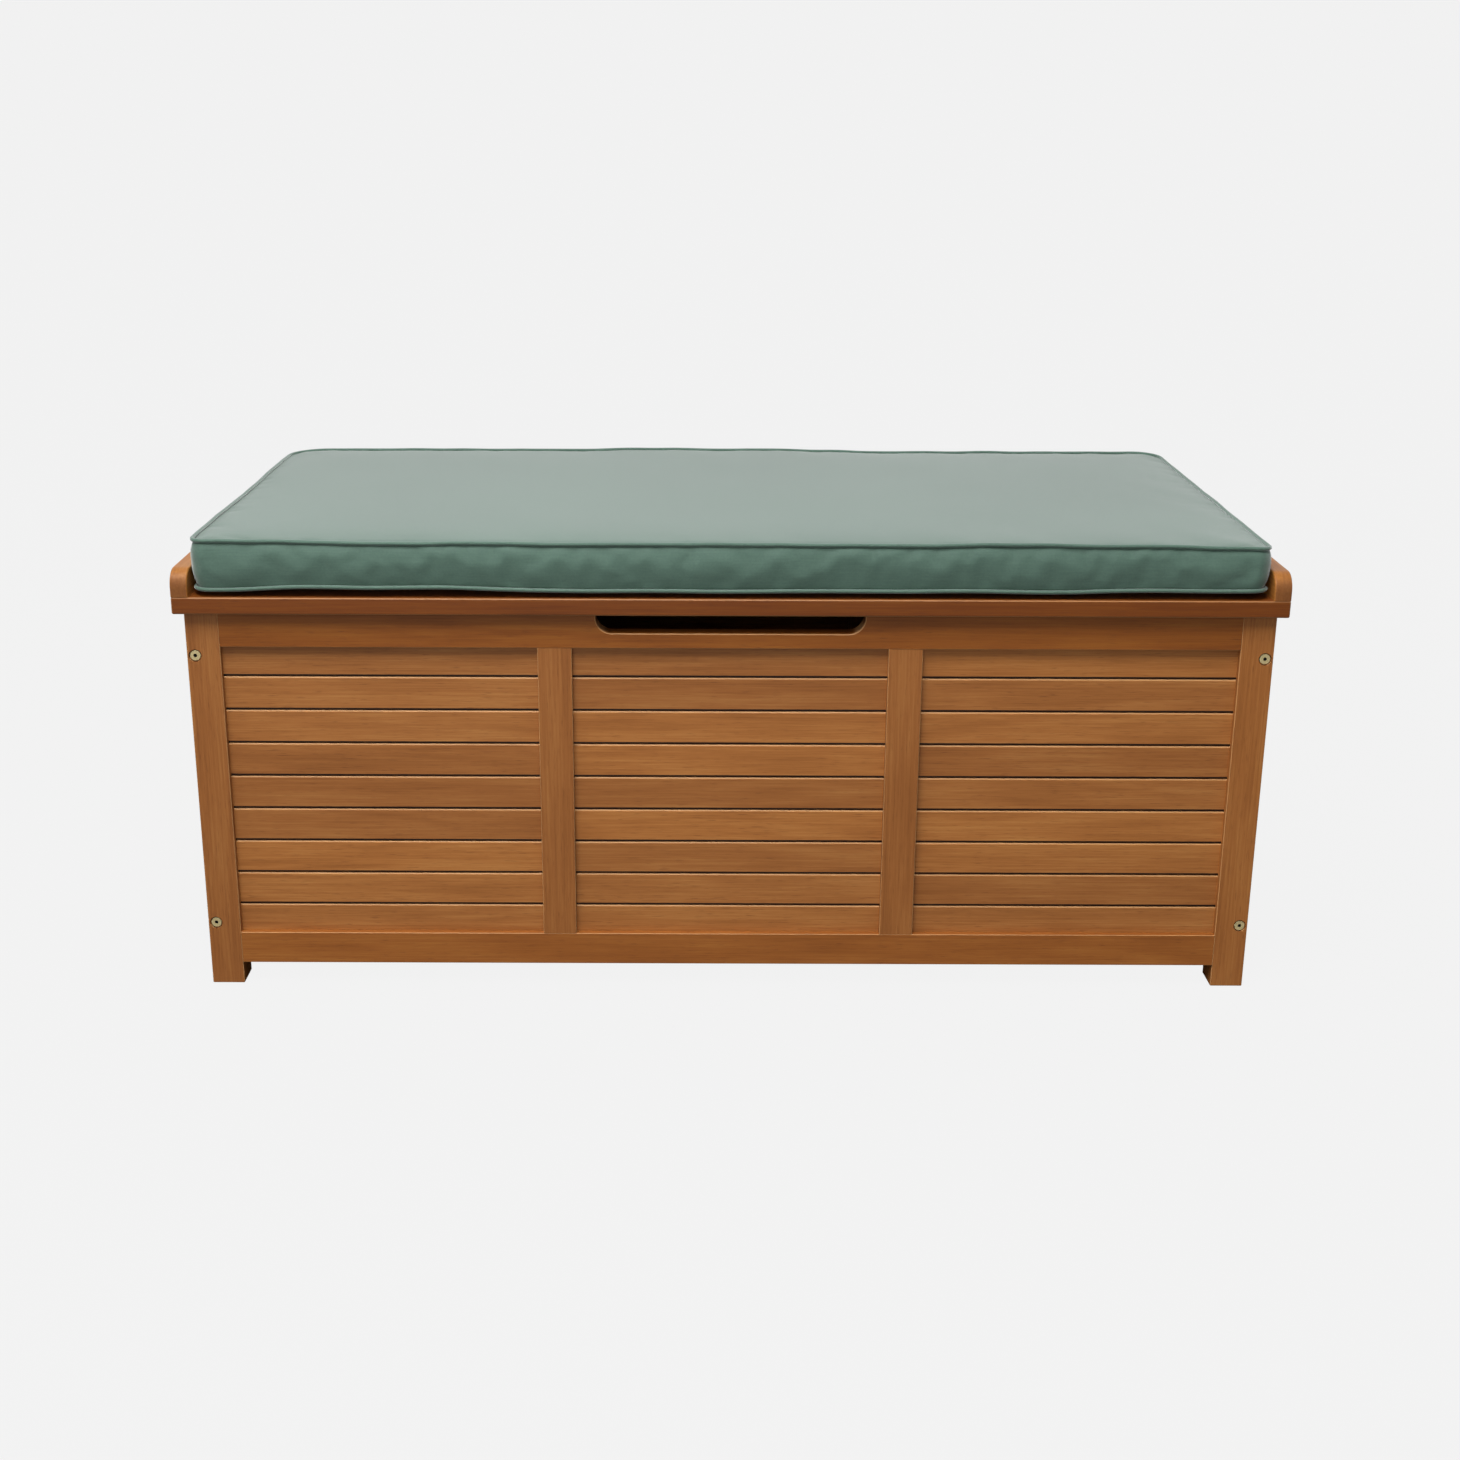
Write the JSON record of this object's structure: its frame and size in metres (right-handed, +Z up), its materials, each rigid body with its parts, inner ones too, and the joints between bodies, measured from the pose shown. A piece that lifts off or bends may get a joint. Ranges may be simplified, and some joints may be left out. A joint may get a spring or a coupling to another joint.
{
  "type": "deck storage box",
  "caption": "Slatted hardwood deck storage bench: framed panels on corner posts, hinged lid on gas struts, end curbs and a loose piped seat cushion.",
  "frame": {"origin": "on the ground, in the middle of the closed box's footprint: halfway between the lid's ends, and halfway between the lid's front edge and the rearmost hinge knuckle", "axes": "+X along the box to the right of someone facing its front, +Y from the front to the hinged back, +Z up"},
  "size_m": [1.22, 0.6194, 0.5245],
  "materials": {
    "frame_timber": "satin",
    "slat_timber": "satin",
    "lid_timber": "satin",
    "floor_timber": "matte",
    "beech_dowel": "matte",
    "zinc_plated_bolt": "satin",
    "stainless_screw": "satin",
    "hinge_steel": "satin",
    "bracket_steel": "satin",
    "strut_rod_chrome": "polished",
    "strut_tube_paint": "satin",
    "strut_fitting_plastic": "matte",
    "cushion_fabric": "matte",
    "cushion_piping": "matte",
    "cushion_foam": "matte"
  },
  "bodies": {
    "box": {"barrel_nuts": "zinc_plated_bolt", "corner_bolts": "zinc_plated_bolt", "floor_bearers": "floor_timber", "floor_boards": "floor_timber", "frame_dowels": "beech_dowel", "front_bottom_rail": "frame_timber", "front_left_post": "frame_timber", "front_left_slats": "slat_timber", "front_middle_slats": "slat_timber", "front_muntins": "frame_timber", "front_right_post": "frame_timber", "front_right_slats": "slat_timber", "front_top_rail": "frame_timber", "hinge_body_leaves": "hinge_steel", "hinge_body_screws": "stainless_screw", "hinge_pins": "hinge_steel", "left_side_rails": "frame_timber", "left_side_slats": "slat_timber", "left_side_stiles": "frame_timber", "rear_bottom_rail": "frame_timber", "rear_left_post": "frame_timber", "rear_left_slats": "slat_timber", "rear_middle_slats": "slat_timber", "rear_muntins": "frame_timber", "rear_right_post": "frame_timber", "rear_right_slats": "slat_timber", "rear_top_rail": "frame_timber", "right_side_rails": "frame_timber", "right_side_slats": "slat_timber", "right_side_stiles": "frame_timber", "strut_body_brackets": "bracket_steel", "strut_body_screws": "stainless_screw"},
    "lid": {"curb_screws": "stainless_screw", "hinge_lid_leaves": "hinge_steel", "hinge_lid_screws": "stainless_screw", "left_end_curb": "lid_timber", "lid_batten_screws": "stainless_screw", "lid_battens": "lid_timber", "lid_front_board": "lid_timber", "lid_middle_boards": "lid_timber", "lid_rear_board": "lid_timber", "right_end_curb": "lid_timber", "strut_lid_brackets": "bracket_steel", "strut_lid_screws": "stainless_screw"},
    "cushion": {"cushion_bottom_piping": "cushion_piping", "cushion_cover": "cushion_fabric", "cushion_foam": "cushion_foam", "cushion_top_piping": "cushion_piping"},
    "left_strut_rod": {"left_strut_piston": "strut_fitting_plastic", "left_strut_rod": "strut_rod_chrome", "left_strut_rod_socket": "strut_fitting_plastic"},
    "right_strut_rod": {"right_strut_piston": "strut_fitting_plastic", "right_strut_rod": "strut_rod_chrome", "right_strut_rod_socket": "strut_fitting_plastic"},
    "left_strut_cylinder": {"left_strut_gland": "strut_fitting_plastic", "left_strut_tube": "strut_tube_paint", "left_strut_tube_socket": "strut_fitting_plastic"},
    "right_strut_cylinder": {"right_strut_gland": "strut_fitting_plastic", "right_strut_tube": "strut_tube_paint", "right_strut_tube_socket": "strut_fitting_plastic"}
  },
  "joints": [
    {"name": "lid_hinge", "type": "hinge", "parent": "box", "child": "lid", "pos_m": [0, 0.30625, 0.446], "axis": [-1, 0, 0], "range_deg": [0, 80]},
    {"name": "cushion_lift", "type": "slide", "parent": "lid", "child": "cushion", "axis": [0, 0, 1], "range_m": [0, 0.2]},
    {"name": "left_rod_pivot", "type": "hinge", "parent": "box", "child": "left_strut_rod", "pos_m": [-0.568, 0.25225, 0.22243], "axis": [-1, 0, 0], "range_deg": [0, 40]},
    {"name": "left_cylinder_pivot", "type": "hinge", "parent": "lid", "child": "left_strut_cylinder", "pos_m": [-0.568, 0.07647, 0.436], "axis": [-1, 0, 0], "range_deg": [-40, 0]},
    {"name": "right_rod_pivot", "type": "hinge", "parent": "box", "child": "right_strut_rod", "pos_m": [0.568, 0.25225, 0.22243], "axis": [-1, 0, 0], "range_deg": [0, 40]},
    {"name": "right_cylinder_pivot", "type": "hinge", "parent": "lid", "child": "right_strut_cylinder", "pos_m": [0.568, 0.07647, 0.436], "axis": [-1, 0, 0], "range_deg": [-40, 0]}
  ],
  "couplings": [
    {"joint": "left_rod_pivot", "follows": "lid_hinge", "ratio": 0.5},
    {"joint": "left_cylinder_pivot", "follows": "lid_hinge", "ratio": -0.5},
    {"joint": "right_rod_pivot", "follows": "lid_hinge", "ratio": 0.5},
    {"joint": "right_cylinder_pivot", "follows": "lid_hinge", "ratio": -0.5}
  ]
}
